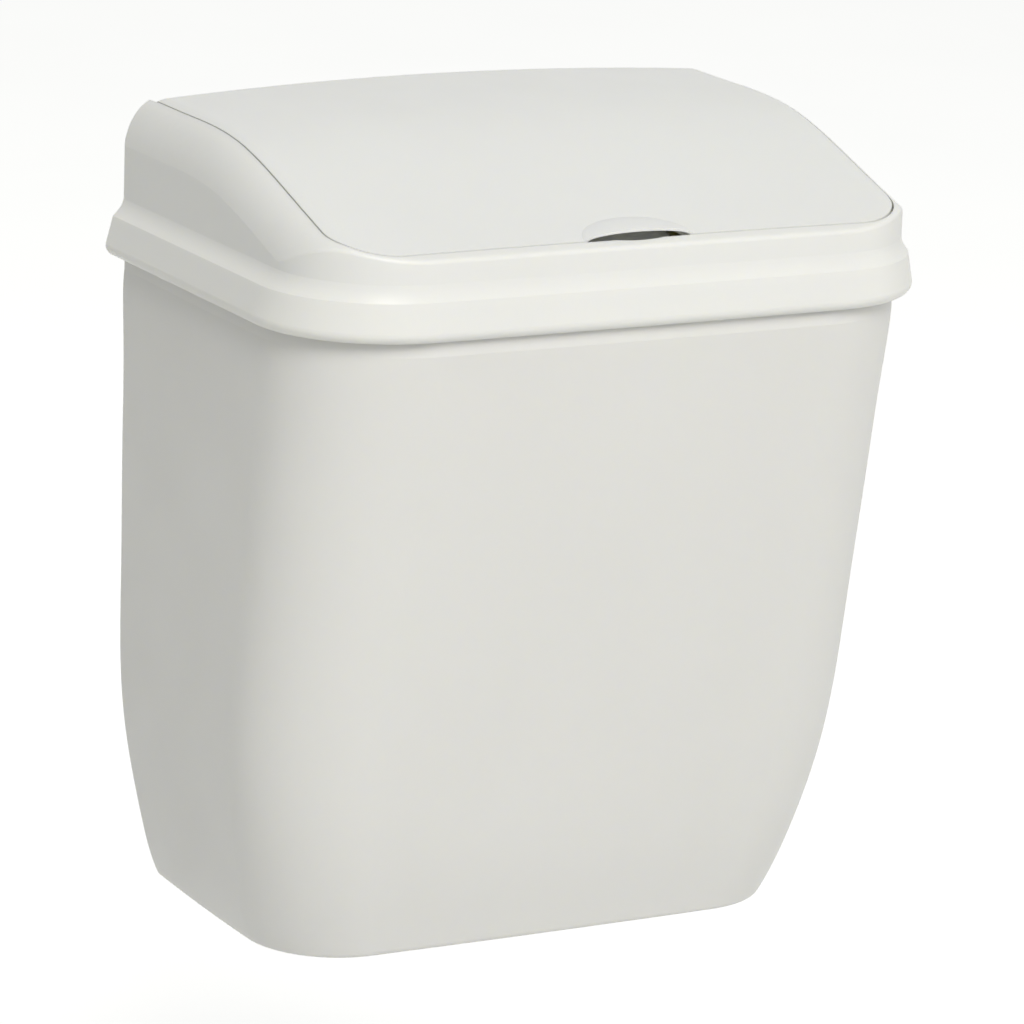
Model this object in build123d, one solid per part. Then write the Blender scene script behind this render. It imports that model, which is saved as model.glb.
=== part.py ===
from build123d import *
import math
import os

# A wall-mounted waste bin: a tub that hangs on a wall plate, a drop-on hood and a lift-up flap.
# All sizes are millimetres. X runs to the right, the room is towards -Y, the wall is the plane
# Y = 0 and Z is up. Heights are measured from the tub's foot while the pieces are built, and
# the finished pieces are lowered so that the origin is the middle of the wall plate's screws.

# Wall and play between pieces
wall_gap = 2.0
smallest_round = 0.6
running_play = 0.05
slide_play = 0.3

# Tub
tub_wall = 2.2
tub_floor = 2.6
tub_height = 288.0
collar_height = 18.0
tub_half_width = 140.7
tub_depth = 195.0
side_draft = 0.0062
front_draft = 0.204
side_curve_height = 112.0
side_curve_radius = 325.0
front_curve_height = 70.0
front_curve_radius = 440.0
foot_corner_radius = 40.3
collar_corner_radius = 54.0
rear_corner_radius = 3.8
tub_side_bulge = 1.6
tub_front_bulge = 1.6
foot_round = 3.2
rim_lip = 1.2
rim_lip_height = 4.0

# Wall plate and its hooks
plate_drop = 56.0
plate_width = 110.0
plate_height = 56.0
plate_thickness = 2.5
plate_corner_radius = 7.0
screw_spacing_x = 84.0
screw_spacing_z = 36.0
screw_hole_radius = 2.5
hook_spacing = 56.0
hook_width = 18.0
hook_thickness = 3.0
hook_finger = 13.0
hook_finger_thickness = 2.5
hook_seat_rise = 7.0
hook_finger_round = 3.0
lift_off = 15.0
slot_side_play = 0.75
slot_foot_play = 1.0
pocket_depth = 4.0
pocket_margin = 2.0

# Rubber wall buffers
buffer_spacing = 150.0
buffer_height = 42.0
buffer_radius = 9.0
buffer_stem_radius = 3.0
buffer_stem_head = 1.5
buffer_stem_head_radius = 4.5
buffer_edge_round = 0.6
buffer_wall_play = 0.2

# Bag ring
ring_thickness = 2.0
ring_band_depth = 12.0
ring_band_wall = 1.8
bag_play = 1.0

# Hood skirt: its reach past the tub, and heights above the skirt's lower edge
hood_overlap = 11.7
skirt_top_rise = 16.6
cheek_foot_rise = 23.7
skirt_side_reach = 9.7
skirt_front_reach = 5.2
skirt_side_lean = 4.4
skirt_front_lean = 1.6
skirt_corner_radius = 57.0
skirt_crease_corner_radius = 52.5
cove_steps = 4
cove_hollow = 0.75
hood_side_play = 1.2
hood_front_play = 0.5
hood_front_bulge = 1.4
hood_rear_radius = 2.5
skirt_edge_round = 4.0

# Hood cheeks and the arched top that the flap continues
hood_wall = 2.2
cove_side_step = 4.8
cove_front_step = 1.6
cheek_corner_radius = 48.0
crest_overrun = 0.2
arch_shoulder_width = 17.2
arch_shoulder_height = 24.0
arch_rise_rear = 66.4
arch_rise_front = 34.7
arch_bend_depth = 88.0
arch_bend_length = 28.0
arch_steps_behind = 4
arch_steps = 9
crown_rear = 4.4
crown_front = 0.6
ledge_round = 2.0
arch_foot_rise = 12.0

# Flap
flap_side_margin = 11.9
ledge_depth = 5.3
flap_corner_radius = 25.0
flap_skin = 2.0
flap_lip_depth = 4.2
flap_lip_wall = 1.8
flap_rear_round = 2.2
flap_rear_lip = 9.5
side_gap = 0.6
front_gap = 1.1
seat_play = 0.5
seat_thickness = 2.0
seat_width = 6.0
rebate_wall = 2.0

# Hinge
hinge_depth = 14.5
hinge_drop = 8.0
hinge_rear_reach = 8.0
pin_radius = 2.0
pin_length = 16.0
pin_engagement = 3.6
barrel_radius = 4.4
barrel_length = 12.0
boss_radius = 4.4
boss_end = 1.0
hinge_clear_depth = 27.0
rear_wall_drop = 7.0
hinge_bay_drop = 13.0

# Finger grip in the flap's front edge and the scoop under it
grip_half_width = 25.5
grip_length = 17.0
grip_rise = 3.2
grip_slot_half_width = 20.0
scoop_half_width = 22.0
scoop_length = 10.0
scoop_depth = 6.0
scoop_wall = 1.6
scoop_edge = 2.6

# Rubber flap buffers
flap_buffer_spacing = 170.0
flap_buffer_radius = 2.4
flap_buffer_stem_radius = 1.2
flap_buffer_stem = 3.0
flap_buffer_sink = 0.8
flap_buffer_play = 0.15

# Places that follow from the sizes above
back_plane = -wall_gap
collar_foot = tub_height - collar_height
plate_centre_height = tub_height - plate_drop
hook_seat_height = plate_centre_height + hook_seat_rise
ring_foot = tub_height
hood_seat = tub_height + ring_thickness
skirt_foot = tub_height - hood_overlap
skirt_half_width = tub_half_width + skirt_side_reach
skirt_depth = tub_depth + skirt_front_reach
skirt_top_half_width = skirt_half_width - skirt_side_lean
skirt_top_depth = skirt_depth - skirt_front_lean
skirt_cavity_half_width = tub_half_width + tub_side_bulge + rim_lip + hood_side_play
skirt_cavity_depth = tub_depth + tub_front_bulge + rim_lip + hood_front_play - hood_front_bulge
cheek_half_width = skirt_top_half_width - cove_side_step
cheek_depth = skirt_top_depth - cove_front_step
flap_half_width = cheek_half_width - flap_side_margin
flap_front_depth = cheek_depth - ledge_depth
hinge_y = back_plane - hinge_depth
arch_half_width = cheek_half_width + crest_overrun
arch_top_rear = skirt_foot + arch_rise_rear
hinge_z = arch_top_rear - hinge_drop
pocket_floor_y = back_plane - pocket_depth
hook_inner_y = pocket_floor_y - tub_wall - slide_play
flap_rear_y = hinge_y + hinge_rear_reach
front_slope = math.atan((arch_rise_rear - arch_rise_front) / (flap_front_depth - arch_bend_depth))
far = 400.0
tall = 130.0
edge_slack = 0.1
cut_over = 1.0
cut_behind = 5.0


def side_line(x, start, end, bulge):
    if bulge == 0:
        return Line((x, start), (x, end))
    return ThreePointArc((x, start), (x + bulge, (start + end) / 2), (x, end))


def plan(half_width, depth, corner, z, inset=0.0, rear=rear_corner_radius, side_bulge=0.0,
         front_bulge=0.0, back_inset=None):
    """A horizontal outline: flat back, slightly bulged sides and front, rounded corners."""
    side = half_width - inset
    back = back_plane - (inset if back_inset is None else back_inset)
    front = back_plane - depth + inset
    outline = make_face(
        Line((side, back), (-side, back))
        + side_line(-side, back, front, -side_bulge)
        + ThreePointArc((-side, front), (0, front - front_bulge), (side, front))
        + side_line(side, front, back, side_bulge)
    )
    front_corners = outline.vertices().group_by(Axis.Y)[0]
    outline = fillet(front_corners, corner - inset)
    rear_corners = outline.vertices().group_by(Axis.Y)[-1]
    outline = fillet(rear_corners, max(rear - inset, smallest_round))
    return Pos(0, 0, z) * outline


def prism(face, height):
    return extrude(face, height, dir=(0, 0, 1))


def block(x0, x1, y0, y1, z0, z1):
    centre = ((x0 + x1) / 2, (y0 + y1) / 2, (z0 + z1) / 2)
    return Pos(*centre) * Box(abs(x1 - x0), abs(y1 - y0), abs(z1 - z0))


def rod_x(radius, x0, x1, y, z):
    return Pos((x0 + x1) / 2, y, z) * Rot(0, 90, 0) * Cylinder(radius, abs(x1 - x0))


def rod_y(radius, x, y0, y1, z):
    return Pos(x, (y0 + y1) / 2, z) * Rot(90, 0, 0) * Cylinder(radius, abs(y1 - y0))


# Tub

def curve_sag(z, curve_height, radius):
    below = max(curve_height - z, 0.0)
    return radius - math.sqrt(radius * radius - below * below)


def tub_plan(z, inset=0.0):
    below = collar_foot - z
    side = tub_half_width - side_draft * below - curve_sag(z, side_curve_height, side_curve_radius)
    depth = tub_depth - front_draft * below - curve_sag(z, front_curve_height, front_curve_radius)
    corner = foot_corner_radius + (collar_corner_radius - foot_corner_radius) * z / collar_foot
    return plan(side, depth, corner, z, inset, side_bulge=tub_side_bulge,
                front_bulge=tub_front_bulge)


def collar_plan(z, inset=0.0, back_inset=None):
    return plan(tub_half_width, tub_depth, collar_corner_radius, z, inset,
                side_bulge=tub_side_bulge, front_bulge=tub_front_bulge, back_inset=back_inset)


def tub_levels(foot):
    """Evenly spaced heights, which keep the lofted walls free of waves."""
    steps = 8
    return [foot + (collar_foot - foot) * step / steps for step in range(steps + 1)]


def hook_slots():
    low = hook_seat_height - hook_thickness - lift_off - slot_foot_play
    half = hook_width / 2 + slot_side_play
    slots = [
        block(x - half, x + half, pocket_floor_y - tub_wall - cut_over, pocket_floor_y + cut_over,
              low, hook_seat_height)
        for x in (-hook_spacing / 2, hook_spacing / 2)
    ]
    return slots[0] + slots[1]


def make_tub():
    outer = loft([tub_plan(z) for z in tub_levels(0.0)])
    foot_edges = outer.edges().group_by(Axis.Z)[0]
    outer = fillet(foot_edges, foot_round)
    inner = loft([tub_plan(z, tub_wall) for z in tub_levels(tub_floor)])
    lip_foot = tub_height - rim_lip_height
    outer += prism(collar_plan(collar_foot), collar_height)
    outer += prism(collar_plan(lip_foot, -rim_lip, back_inset=0.0), rim_lip_height)
    inner += prism(collar_plan(collar_foot, tub_wall), collar_height + cut_over)

    # The pocket in the back takes the wall plate, and is taller by the lift-off travel.
    half = plate_width / 2 + pocket_margin
    low = plate_centre_height - plate_height / 2 - lift_off - pocket_margin
    high = plate_centre_height + plate_height / 2 + pocket_margin
    pocket_case = block(-half - tub_wall, half + tub_wall, pocket_floor_y - tub_wall, back_plane,
                        low - tub_wall, high + tub_wall)
    pocket = block(-half, half, pocket_floor_y, cut_behind, low, high)
    tub = (outer - (inner - pocket_case)) - pocket - hook_slots()
    for x in (-buffer_spacing / 2, buffer_spacing / 2):
        tub -= rod_y(buffer_stem_radius, x, back_plane - tub_wall - cut_over, back_plane + cut_over,
                     buffer_height)
    return tub


# Wall side

def make_wall_plate():
    outline = RectangleRounded(plate_width, plate_height, plate_corner_radius)
    holes = GridLocations(screw_spacing_x, screw_spacing_z, 2, 2) * Circle(screw_hole_radius)
    plate = Pos(0, 0, plate_centre_height) * Rot(90, 0, 0) * extrude(outline - holes, plate_thickness)
    tongue_foot = hook_seat_height - hook_thickness
    finger_top = hook_seat_height + hook_finger
    finger_y = hook_inner_y - hook_finger_thickness
    for x in (-hook_spacing / 2, hook_spacing / 2):
        left = x - hook_width / 2
        right = x + hook_width / 2
        plate += block(left, right, finger_y, -plate_thickness, tongue_foot, hook_seat_height)
        finger = block(left, right, finger_y, hook_inner_y, tongue_foot, finger_top)
        finger = fillet(finger.edges().filter_by(Axis.Y).group_by(Axis.Z)[-1], hook_finger_round)
        plate += finger
    return plate


def make_wall_buffer(x):
    pad = rod_y(buffer_radius, x, back_plane, -buffer_wall_play, buffer_height)
    pad = fillet(pad.edges().group_by(Axis.Y)[-1], buffer_edge_round)
    stem = rod_y(buffer_stem_radius, x, back_plane - tub_wall, back_plane, buffer_height)
    head = rod_y(buffer_stem_head_radius, x, back_plane - tub_wall - buffer_stem_head,
                 back_plane - tub_wall, buffer_height)
    return pad + stem + head


# Bag ring

def make_bag_ring():
    band_inset = tub_wall + bag_play
    bore_inset = band_inset + ring_band_wall
    flange = prism(collar_plan(ring_foot, -rim_lip, back_inset=0.0), ring_thickness)
    band = prism(collar_plan(ring_foot - ring_band_depth, band_inset), ring_band_depth)
    bore = prism(collar_plan(ring_foot - ring_band_depth - cut_over, bore_inset),
                 ring_band_depth + ring_thickness + 2 * cut_over)
    return flange + band - bore


# Arched top: upright sections across the width, from the wall to past the front

def arch_rise(depth):
    """Height of the shoulders' crest above the skirt's lower edge, at a depth from the back."""
    start = arch_bend_depth - arch_bend_length
    end = arch_bend_depth + arch_bend_length
    if depth <= start:
        return arch_rise_rear
    if depth >= end:
        return arch_rise_rear - (depth - arch_bend_depth) * math.tan(front_slope)
    bend = (depth - start) ** 2 / (4 * arch_bend_length)
    return arch_rise_rear - bend * math.tan(front_slope)


def arch_crown(depth):
    share = min(max(depth, 0.0) / flap_front_depth, 1.0)
    return crown_rear + (crown_front - crown_rear) * share


def arch_section(depth, inset):
    shoulder_x = arch_shoulder_width - inset
    shoulder_z = arch_shoulder_height - inset
    centre_x = arch_half_width - arch_shoulder_width
    top = skirt_foot + arch_rise(depth) - inset
    centre_z = top - shoulder_z
    foot = skirt_foot - arch_foot_rise
    side = arch_half_width - inset
    # The crown's arc leaves each shoulder at the same slope, so the crest has no crease.
    end_slope = 2 * math.atan(arch_crown(depth) / centre_x)
    turn = math.atan2(shoulder_z, shoulder_x * math.tan(end_slope))
    join_x = centre_x + shoulder_x * math.cos(turn)
    join_z = centre_z + shoulder_z * math.sin(turn)
    crest = join_z + join_x * math.tan(end_slope / 2)
    degrees = math.degrees(turn)
    section = make_face(
        Line((-side, foot), (side, foot))
        + Line((side, foot), (side, centre_z))
        + EllipticalCenterArc((centre_x, centre_z), shoulder_x, shoulder_z, 0, arc_size=degrees)
        + ThreePointArc((join_x, join_z), (0, crest), (-join_x, join_z))
        + EllipticalCenterArc((-centre_x, centre_z), shoulder_x, shoulder_z, 180 - degrees,
                              arc_size=degrees)
        + Line((-side, centre_z), (-side, foot))
    )
    return Pos(0, back_plane - depth, 0) * Rot(90, 0, 0) * section


def arch(inset=0.0):
    """The solid under the arched top, through evenly spaced sections from behind the back."""
    first = arch_bend_depth - arch_steps_behind * arch_bend_length
    depths = [first + step * arch_bend_length for step in range(arch_steps + 1)]
    return loft([arch_section(depth, inset) for depth in depths])


def flap_plan(outset=0.0, front_outset=None, rear_y=flap_rear_y, foot=None):
    side = flap_half_width + outset
    ahead = outset if front_outset is None else front_outset
    front = back_plane - flap_front_depth - ahead
    outline = make_face(Polyline((-side, rear_y), (side, rear_y), (side, front), (-side, front),
                                 close=True))
    corners = outline.vertices().group_by(Axis.Y)[0]
    outline = fillet(corners, flap_corner_radius + outset)
    return prism(Pos(0, 0, skirt_foot if foot is None else foot) * outline, tall)


# Hood

def skirt_plan(half_width, depth, rise, corner):
    return plan(half_width, depth, corner, skirt_foot + rise, rear=hood_rear_radius,
                front_bulge=hood_front_bulge)


def cheek_plan(z, inset=0.0):
    return plan(cheek_half_width, cheek_depth, cheek_corner_radius, z, inset,
                rear=hood_rear_radius, front_bulge=hood_front_bulge)


def between(start, end, share):
    return start + (end - start) * share


def skirt_level(share):
    """An outline of the leaning skirt, from its lower edge, 0, to its crease, 1."""
    return skirt_plan(between(skirt_half_width, skirt_top_half_width, share),
                      between(skirt_depth, skirt_top_depth, share),
                      skirt_top_rise * share,
                      between(skirt_corner_radius, skirt_crease_corner_radius, share))


def cove_level(share):
    """An outline of the hollow curve that runs from the skirt's crease, 0, to the cheeks, 1."""
    out = (1 - share) * (1 - cove_hollow * share)
    return skirt_plan(between(cheek_half_width, skirt_top_half_width, out),
                      between(cheek_depth, skirt_top_depth, out),
                      between(skirt_top_rise, cheek_foot_rise, share),
                      between(cheek_corner_radius, skirt_crease_corner_radius, out))


def hood_outside(top_arch):
    skirt = loft([skirt_level(0), skirt_level(0.5), skirt_level(1)])
    skirt = fillet(skirt.edges().group_by(Axis.Z)[0], skirt_edge_round)
    cove = loft([cove_level(step / cove_steps) for step in range(cove_steps + 1)])
    cheeks = prism(cheek_plan(skirt_foot + skirt_edge_round), tall) & top_arch
    cheeks = fillet([edge for edge in cheeks.edges() if edge_is_crest(edge)], ledge_round)
    return skirt + cove + cheeks


def edge_is_crest(edge):
    """True for the edges where the upright walls meet the arched top."""
    run = edge @ 1 - edge @ 0
    upright = abs(run.X) < edge_slack and abs(run.Y) < edge_slack
    crown_line = abs(run.Y) > cheek_depth - cheek_corner_radius / 2
    above_cove = edge.center().Z > skirt_foot + cheek_foot_rise
    return above_cove and not upright and not crown_line


def grip_dome(inset=0.0):
    """The raised finger grip: a shallow dome centred on the flap's front edge."""
    centre = (0, back_plane - flap_front_depth, skirt_foot + arch_rise(flap_front_depth))
    tilt = math.degrees(front_slope)
    dome = scale(Sphere(1), by=(grip_half_width - inset, grip_length - inset,
                                grip_rise + crown_front - inset / 2))
    return Pos(*centre) * Rot(tilt, 0, 0) * dome


def scoop(outset=0.0):
    """The finger hollow behind the ledge, under the raised grip."""
    front = back_plane - flap_front_depth - front_gap - scoop_edge
    centre_y = front + scoop_length
    centre_z = skirt_foot + arch_rise(flap_front_depth - scoop_length)
    bowl = scale(Sphere(1), by=(scoop_half_width + outset, scoop_length + outset,
                                scoop_depth + outset))
    return Pos(0, centre_y, centre_z) * bowl


def on_seat(x, sunk):
    """A place on the hood's front seat, with its Z square to the seat's slope."""
    depth = flap_front_depth - seat_width / 2
    along = arch_rise(depth) + arch_crown(depth) * (1 - (x / flap_half_width) ** 2)
    drop = flap_lip_depth + seat_play
    y = back_plane - depth
    z = skirt_foot + along - drop / math.cos(front_slope)
    tilt = math.degrees(front_slope)
    return Pos(x, y, z) * Rot(tilt, 0, 0) * Pos(0, 0, -sunk)


def hinge_bosses():
    inner = flap_half_width + side_gap
    outer = inner + pin_engagement + boss_end
    bosses = [rod_x(boss_radius, side * inner, side * outer, hinge_y, hinge_z) for side in (-1, 1)]
    return bosses[0] + bosses[1]


def make_hood(top_arch):
    outside = hood_outside(top_arch)
    seat_drop = flap_lip_depth + seat_play
    seat_arch = arch(seat_drop)
    seat_under = arch(seat_drop + seat_thickness)

    # Under the rim seat the skirt is a straight pocket that drops over the tub's collar.
    low = plan(skirt_cavity_half_width, skirt_cavity_depth, skirt_corner_radius - hood_wall,
               skirt_foot - cut_over, rear=hood_rear_radius, back_inset=hood_wall,
               front_bulge=hood_front_bulge)
    low = prism(low, hood_seat - skirt_foot + cut_over)
    collar_half = tub_half_width + rim_lip + side_gap
    low += block(-collar_half, collar_half, back_plane - collar_corner_radius, back_plane + cut_behind,
                 skirt_foot - cut_over, hood_seat)

    # Above it the cheeks are hollow, apart from the rebate that frames the flap.
    frame_plan = flap_plan(side_gap + rebate_wall, front_gap + rebate_wall, back_plane + cut_behind)
    cavity = prism(cheek_plan(hood_seat, hood_wall), tall) & arch(hood_wall)
    cavity -= frame_plan - seat_under
    rebate = flap_plan(side_gap, front_gap, back_plane + cut_behind) - seat_arch
    mouth = flap_plan(-seat_width, rear_y=back_plane - hood_wall, foot=hood_seat - cut_over)
    hinge_half = flap_half_width + side_gap
    hinge_bay = block(-hinge_half, hinge_half, back_plane - hinge_clear_depth,
                      back_plane - hood_wall, hinge_z - hinge_bay_drop, far)
    rear_cut = block(-hinge_half, hinge_half, back_plane - hinge_clear_depth, back_plane + cut_behind,
                     hinge_z - rear_wall_drop, far)
    hood = outside - low - cavity - rebate - mouth - hinge_bay - rear_cut
    hood += hinge_bosses() & outside
    hood += (scoop(scoop_wall) & seat_arch) & outside
    hood -= scoop()
    for side in (-1, 1):
        inner = side * flap_half_width
        hood -= rod_x(pin_radius, inner, inner + side * (side_gap + pin_engagement), hinge_y, hinge_z)
        place = on_seat(side * flap_buffer_spacing / 2, flap_buffer_sink)
        hood -= place * Pos(0, 0, cut_behind / 2) * Cylinder(flap_buffer_radius, cut_behind)
        hood -= place * Cylinder(flap_buffer_stem_radius, 2 * cut_behind)
    return hood


# Flap, hinge pins and flap buffers

def rear_rounded(shape, radius):
    """Rounds the upper rear edge of a block cut from the arch."""
    rear_y = max(vertex.Y for vertex in shape.vertices())
    rear_top = [edge for edge in shape.edges()
                if edge.center().Y > rear_y - edge_slack and edge.center().Z > hinge_z
                and abs((edge @ 1 - edge @ 0).X) > edge_slack]
    return fillet(rear_top, radius)


def make_flap(top_arch):
    inner_rear = flap_rear_y - flap_lip_wall
    inner_foot = flap_plan(-flap_lip_wall, rear_y=inner_rear)
    outer_block = rear_rounded(top_arch & flap_plan(), flap_rear_round)
    inner_block = rear_rounded(arch(flap_skin) & inner_foot, flap_rear_round - flap_lip_wall)
    rear_low = hinge_z + hinge_drop - flap_rear_lip
    below_lip = arch(flap_lip_depth) & block(-far, far, -far, inner_rear, 0, far)
    below_rear = block(-far, far, inner_rear, far, 0, rear_low)
    flap = outer_block - inner_block - below_lip - below_rear
    front_y = back_plane - flap_front_depth
    flap -= block(-grip_slot_half_width, grip_slot_half_width, front_y - cut_over,
                  front_y + flap_lip_wall + cut_over, 0, far) & arch(flap_skin)
    for side in (-1, 1):
        inner = side * (flap_half_width - barrel_length)
        outer = side * flap_half_width
        flap += rod_x(barrel_radius, inner, outer, hinge_y, hinge_z)
        web = block(inner, outer, hinge_y - barrel_radius, hinge_y + barrel_radius,
                    hinge_z, hinge_z + hinge_drop - flap_skin / 2)
        flap += web & top_arch
    grip = (grip_dome() & flap_plan()) - arch(flap_skin)
    under = grip_dome(flap_skin) & flap_plan(cut_over)
    flap = flap + grip - under
    for side in (-1, 1):
        inner = side * (flap_half_width - barrel_length - cut_over)
        flap -= rod_x(pin_radius + running_play, inner, side * (flap_half_width + cut_over),
                      hinge_y, hinge_z)
    return flap


def make_hinge_pin(side):
    outer = side * (flap_half_width + side_gap + pin_engagement)
    return rod_x(pin_radius, outer, outer - side * pin_length, hinge_y, hinge_z)


def make_flap_buffer(side):
    place = on_seat(side * flap_buffer_spacing / 2, flap_buffer_sink)
    head = flap_buffer_sink + seat_play - flap_buffer_play
    stem = flap_buffer_stem
    button = Pos(0, 0, head / 2) * Cylinder(flap_buffer_radius, head)
    return place * (button + Pos(0, 0, -stem / 2) * Cylinder(flap_buffer_stem_radius, stem))


def save(name, shape):
    placed = Pos(0, 0, -plate_centre_height) * shape
    solids = placed.solids()
    whole = solids[0] if len(solids) == 1 else Compound(children=list(solids))
    whole.label = name
    export_step(whole, os.path.join("parts", name + ".step"))


def main():
    os.makedirs("parts", exist_ok=True)
    top_arch = arch()
    save("wall_plate", make_wall_plate())
    save("tub", make_tub())
    save("bag_ring", make_bag_ring())
    save("hood", make_hood(top_arch))
    save("flap", make_flap(top_arch))
    for side, word in ((-1, "left"), (1, "right")):
        save("hinge_pin_" + word, make_hinge_pin(side))
        save("flap_buffer_" + word, make_flap_buffer(side))
        save("wall_buffer_" + word, make_wall_buffer(side * buffer_spacing / 2))


if __name__ == "__main__":
    main()
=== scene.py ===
import math
import bpy
from mathutils import Matrix, Vector

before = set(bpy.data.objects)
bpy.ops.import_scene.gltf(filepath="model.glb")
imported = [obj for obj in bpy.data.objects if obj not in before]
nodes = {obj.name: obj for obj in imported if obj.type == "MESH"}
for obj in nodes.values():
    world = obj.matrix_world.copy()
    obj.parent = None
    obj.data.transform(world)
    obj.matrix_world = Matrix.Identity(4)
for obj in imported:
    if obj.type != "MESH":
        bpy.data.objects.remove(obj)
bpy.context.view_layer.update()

# Moulded plastic: noise scales are per metre, bump heights are metres
cloud_scale = 9.0
cloud_stretch = (1, 1, 0.5)
cloud_shade = 0.985
patch_scale = 26.0
smoother = 0.05
rougher = 0.07
wave_scale = 14.0
wave_strength = 0.25
wave_height = 0.0006
grain_strength = 0.35
plastic_ior = 1.49
plastic_specular = 0.4
plastic_subsurface = 0.3
plastic_glow_radius = (1.0, 0.9, 0.5)
plastic_glow_depth = 0.004

# Rubber and drawn steel
rubber_speck_scale = 700.0
rubber_speck_strength = 0.4
rubber_speck_height = 0.0001
rubber_specular = 0.25
scratch_scale = 900.0
scratch_stretch = (0.03, 1, 1)
scratch_strength = 0.2
scratch_height = 0.00005

# Studio: metres, radians and lamp watts
floor_height = -0.50
floor_size = 40.0
floor_glow = 0.6
floor_noise_scale = 3.0
sky_strength = 0.37
sky_tint = (0.985, 1.0, 0.96)
lamp_tint = (1.0, 0.985, 0.965)
lamp_target = (0, -0.1, -0.06)
key_place = (-0.62, -2.35, 2.2)
key_size = 1.4
key_energy = 66.0
fill_place = (2.6, -1.2, 0.3)
fill_size = 1.6
fill_energy = 8.0
camera_yaw = -0.492490735
camera_elevation = 0.250895985
camera_roll = 0.035015665
camera_target = (0.04934, -0.002, -0.08506)
camera_distance = 2.4662
camera_lens = 196.52
camera_sensor = 36.0


# Procedural materials

def new_material(name):
    material = bpy.data.materials.new(name)
    material.use_nodes = True
    tree = material.node_tree
    tree.nodes.clear()
    output = tree.nodes.new("ShaderNodeOutputMaterial")
    shader = tree.nodes.new("ShaderNodeBsdfPrincipled")
    tree.links.new(shader.outputs["BSDF"], output.inputs["Surface"])
    return material, tree, shader


def noise(tree, scale, detail, coords, stretch=(1, 1, 1)):
    mapping = tree.nodes.new("ShaderNodeMapping")
    mapping.inputs["Scale"].default_value = stretch
    tree.links.new(coords, mapping.inputs["Vector"])
    texture = tree.nodes.new("ShaderNodeTexNoise")
    texture.inputs["Scale"].default_value = scale
    texture.inputs["Detail"].default_value = detail
    texture.inputs["Roughness"].default_value = 0.55
    tree.links.new(mapping.outputs["Vector"], texture.inputs["Vector"])
    return texture.outputs["Fac"]


def ramp(tree, value, stops):
    node = tree.nodes.new("ShaderNodeValToRGB")
    elements = node.color_ramp.elements
    while len(elements) < len(stops):
        elements.new(0.5)
    for element, (place, colour) in zip(elements, stops):
        element.position = place
        element.color = (*colour, 1)
    tree.links.new(value, node.inputs["Fac"])
    return node.outputs["Color"]


def scaled(colour, factor):
    return tuple(channel * factor for channel in colour)


def grey(value):
    return (value, value, value)


def bumped(tree, height, strength, distance, below=None):
    """A bump from a height value, over another bump where one is given."""
    node = tree.nodes.new("ShaderNodeBump")
    node.inputs["Strength"].default_value = strength
    node.inputs["Distance"].default_value = distance
    tree.links.new(height, node.inputs["Height"])
    if below is not None:
        tree.links.new(below, node.inputs["Normal"])
    return node.outputs["Normal"]


def moulded(name, colour, roughness, grain, grain_height, tint):
    """Moulded plastic: soft cloudy colour, a fine grain and slow waves in the wall."""
    material, tree, shader = new_material(name)
    coords = tree.nodes.new("ShaderNodeTexCoord").outputs["Object"]
    clouds = noise(tree, cloud_scale, 3.0, coords, cloud_stretch)
    base = ramp(tree, clouds, [(0.3, scaled(colour, cloud_shade)), (0.55, colour), (0.75, tint)])
    tree.links.new(base, shader.inputs["Base Color"])
    patches = noise(tree, patch_scale, 2.0, coords)
    gloss = ramp(tree, patches, [(0.25, grey(roughness - smoother)), (0.8, grey(roughness + rougher))])
    tree.links.new(gloss, shader.inputs["Roughness"])
    waves = bumped(tree, noise(tree, wave_scale, 1.0, coords), wave_strength, wave_height)
    fine = noise(tree, grain, 4.0, coords)
    grained = bumped(tree, fine, grain_strength, grain_height, waves)
    tree.links.new(grained, shader.inputs["Normal"])
    shader.inputs["IOR"].default_value = plastic_ior
    shader.inputs["Specular IOR Level"].default_value = plastic_specular
    shader.inputs["Subsurface Weight"].default_value = plastic_subsurface
    shader.inputs["Subsurface Radius"].default_value = plastic_glow_radius
    shader.inputs["Subsurface Scale"].default_value = plastic_glow_depth
    return material


def rubber(name, colour):
    """Rubber: a dull, finely speckled surface."""
    material, tree, shader = new_material(name)
    coords = tree.nodes.new("ShaderNodeTexCoord").outputs["Object"]
    specks = noise(tree, rubber_speck_scale, 5.0, coords)
    base = ramp(tree, specks, [(0.3, scaled(colour, 0.8)), (0.7, scaled(colour, 1.15))])
    tree.links.new(base, shader.inputs["Base Color"])
    dullness = ramp(tree, specks, [(0.2, grey(0.7)), (0.8, grey(0.9))])
    tree.links.new(dullness, shader.inputs["Roughness"])
    speckled = bumped(tree, specks, rubber_speck_strength, rubber_speck_height)
    tree.links.new(speckled, shader.inputs["Normal"])
    shader.inputs["Specular IOR Level"].default_value = rubber_specular
    return material


def drawn_steel(name, colour):
    """Drawn steel rod: fine scratches run along X."""
    material, tree, shader = new_material(name)
    coords = tree.nodes.new("ShaderNodeTexCoord").outputs["Object"]
    lines = noise(tree, scratch_scale, 4.0, coords, scratch_stretch)
    base = ramp(tree, lines, [(0.3, scaled(colour, 0.85)), (0.7, colour)])
    tree.links.new(base, shader.inputs["Base Color"])
    gloss = ramp(tree, lines, [(0.2, grey(0.24)), (0.8, grey(0.42))])
    tree.links.new(gloss, shader.inputs["Roughness"])
    scratched = bumped(tree, lines, scratch_strength, scratch_height)
    tree.links.new(scratched, shader.inputs["Normal"])
    shader.inputs["Metallic"].default_value = 1.0
    return material


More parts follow.
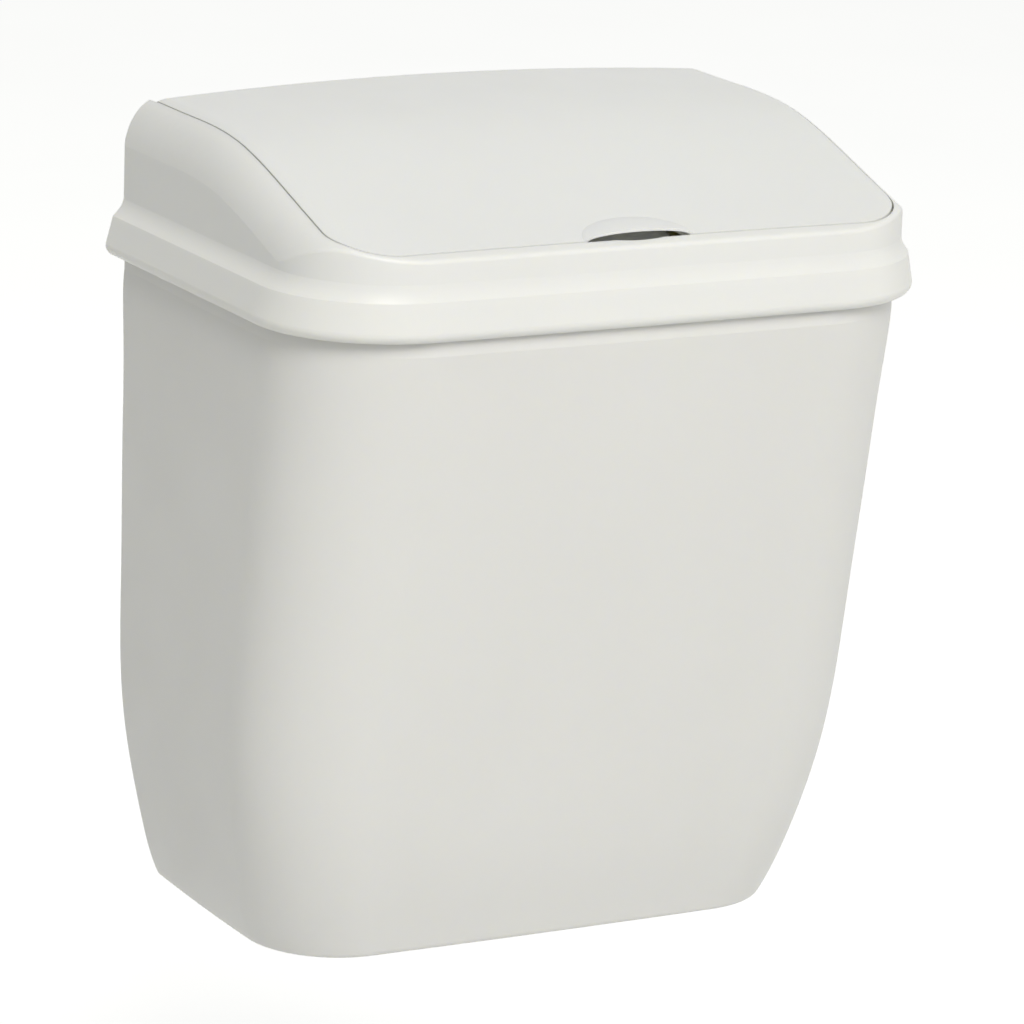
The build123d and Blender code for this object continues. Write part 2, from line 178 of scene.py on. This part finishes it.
finishes = {
    "tub": moulded("tub_plastic", (0.80, 0.795, 0.765), 0.42, 1500.0, 0.00006,
                   (0.795, 0.795, 0.75)),
    "hood": moulded("hood_plastic", (0.83, 0.83, 0.80), 0.36, 1800.0, 0.00004,
                    (0.83, 0.835, 0.795)),
    "flap": moulded("flap_plastic", (0.82, 0.825, 0.80), 0.38, 1800.0, 0.00004,
                    (0.82, 0.83, 0.80)),
    "bag_ring": moulded("ring_plastic", (0.62, 0.63, 0.62), 0.5, 1500.0, 0.00006,
                        (0.60, 0.61, 0.60)),
    "wall_plate": moulded("plate_plastic", (0.55, 0.56, 0.56), 0.5, 1500.0, 0.00008,
                          (0.53, 0.54, 0.54)),
    "hinge_pin": drawn_steel("pin_steel", (0.62, 0.62, 0.62)),
    "flap_buffer": rubber("soft_rubber", (0.30, 0.30, 0.30)),
    "wall_buffer": rubber("pad_rubber", (0.30, 0.30, 0.30)),
}


def finish_of(node):
    for word in ("_left", "_right"):
        node = node.replace(word, "")
    return finishes[node]


for name, piece in nodes.items():
    piece.data.materials.clear()
    piece.data.materials.append(finish_of(name))


# Floor, light and camera

def seen_rays(tree):
    """1 for the rays that see the background: straight, in a reflection or through glass."""
    light_path = tree.nodes.new("ShaderNodeLightPath")
    total = light_path.outputs["Is Camera Ray"]
    for kind in ("Is Glossy Ray", "Is Transmission Ray"):
        either = tree.nodes.new("ShaderNodeMath")
        either.operation = "MAXIMUM"
        tree.links.new(total, either.inputs[0])
        tree.links.new(light_path.outputs[kind], either.inputs[1])
        total = either.outputs["Value"]
    return total


def make_floor(height, size):
    mesh = bpy.data.meshes.new("floor")
    half = size / 2
    corners = [(-half, -half, height), (half, -half, height), (half, half, height),
               (-half, half, height)]
    mesh.from_pydata(corners, [], [(0, 1, 2, 3)])
    floor = bpy.data.objects.new("floor", mesh)
    bpy.context.scene.collection.objects.link(floor)
    material, tree, shader = new_material("floor_paint")
    coords = tree.nodes.new("ShaderNodeTexCoord").outputs["Object"]
    mottle = noise(tree, floor_noise_scale, 2.0, coords)
    base = ramp(tree, mottle, [(0.3, grey(0.84)), (0.7, grey(0.86))])
    tree.links.new(base, shader.inputs["Base Color"])
    shader.inputs["Roughness"].default_value = 0.9
    shader.inputs["Specular IOR Level"].default_value = 0.0
    shader.inputs["Emission Color"].default_value = (1, 1, 1, 1)
    glow = tree.nodes.new("ShaderNodeMath")
    glow.operation = "MULTIPLY"
    glow.inputs[1].default_value = floor_glow
    tree.links.new(seen_rays(tree), glow.inputs[0])
    tree.links.new(glow.outputs["Value"], shader.inputs["Emission Strength"])
    mesh.materials.append(material)


def make_world(strength, colour):
    world = bpy.data.worlds.new("studio")
    bpy.context.scene.world = world
    world.use_nodes = True
    tree = world.node_tree
    tree.nodes.clear()
    output = tree.nodes.new("ShaderNodeOutputWorld")
    soft = tree.nodes.new("ShaderNodeBackground")
    soft.inputs["Color"].default_value = (*colour, 1)
    soft.inputs["Strength"].default_value = strength
    white = tree.nodes.new("ShaderNodeBackground")
    white.inputs["Color"].default_value = (1, 1, 1, 1)
    white.inputs["Strength"].default_value = 1.0
    mix = tree.nodes.new("ShaderNodeMixShader")
    tree.links.new(seen_rays(tree), mix.inputs["Fac"])
    tree.links.new(soft.outputs["Background"], mix.inputs[1])
    tree.links.new(white.outputs["Background"], mix.inputs[2])
    tree.links.new(mix.outputs["Shader"], output.inputs["Surface"])


def aim(thing, place, target):
    back = (Vector(place) - Vector(target)).normalized()
    thing.location = place
    thing.rotation_euler = back.to_track_quat("Z", "Y").to_euler()


def make_lamp(name, place, target, size, energy, colour):
    lamp = bpy.data.lights.new(name, "AREA")
    lamp.shape = "SQUARE"
    lamp.size = size
    lamp.energy = energy
    lamp.color = colour
    thing = bpy.data.objects.new(name, lamp)
    bpy.context.scene.collection.objects.link(thing)
    aim(thing, place, target)


def make_camera(yaw, elevation, roll, target, distance, lens):
    back = Vector((math.sin(yaw) * math.cos(elevation), -math.cos(yaw) * math.cos(elevation),
                   math.sin(elevation)))
    right = Vector((math.cos(yaw), math.sin(yaw), 0))
    up = back.cross(right)
    across = right * math.cos(roll) + up * math.sin(roll)
    above = up * math.cos(roll) - right * math.sin(roll)
    camera = bpy.data.objects.new("camera", bpy.data.cameras.new("camera"))
    camera.data.sensor_width = camera_sensor
    camera.data.lens = lens
    turn = Matrix((across, above, back)).transposed().to_4x4()
    camera.matrix_world = Matrix.Translation(Vector(target) + back * distance) @ turn
    bpy.context.scene.collection.objects.link(camera)
    bpy.context.scene.camera = camera


make_floor(floor_height, floor_size)
make_world(sky_strength, sky_tint)
make_lamp("key", key_place, lamp_target, key_size, key_energy, lamp_tint)
make_lamp("fill", fill_place, lamp_target, fill_size, fill_energy, lamp_tint)
make_camera(camera_yaw, camera_elevation, camera_roll, camera_target, camera_distance, camera_lens)
bpy.context.scene.view_settings.view_transform = "Standard"
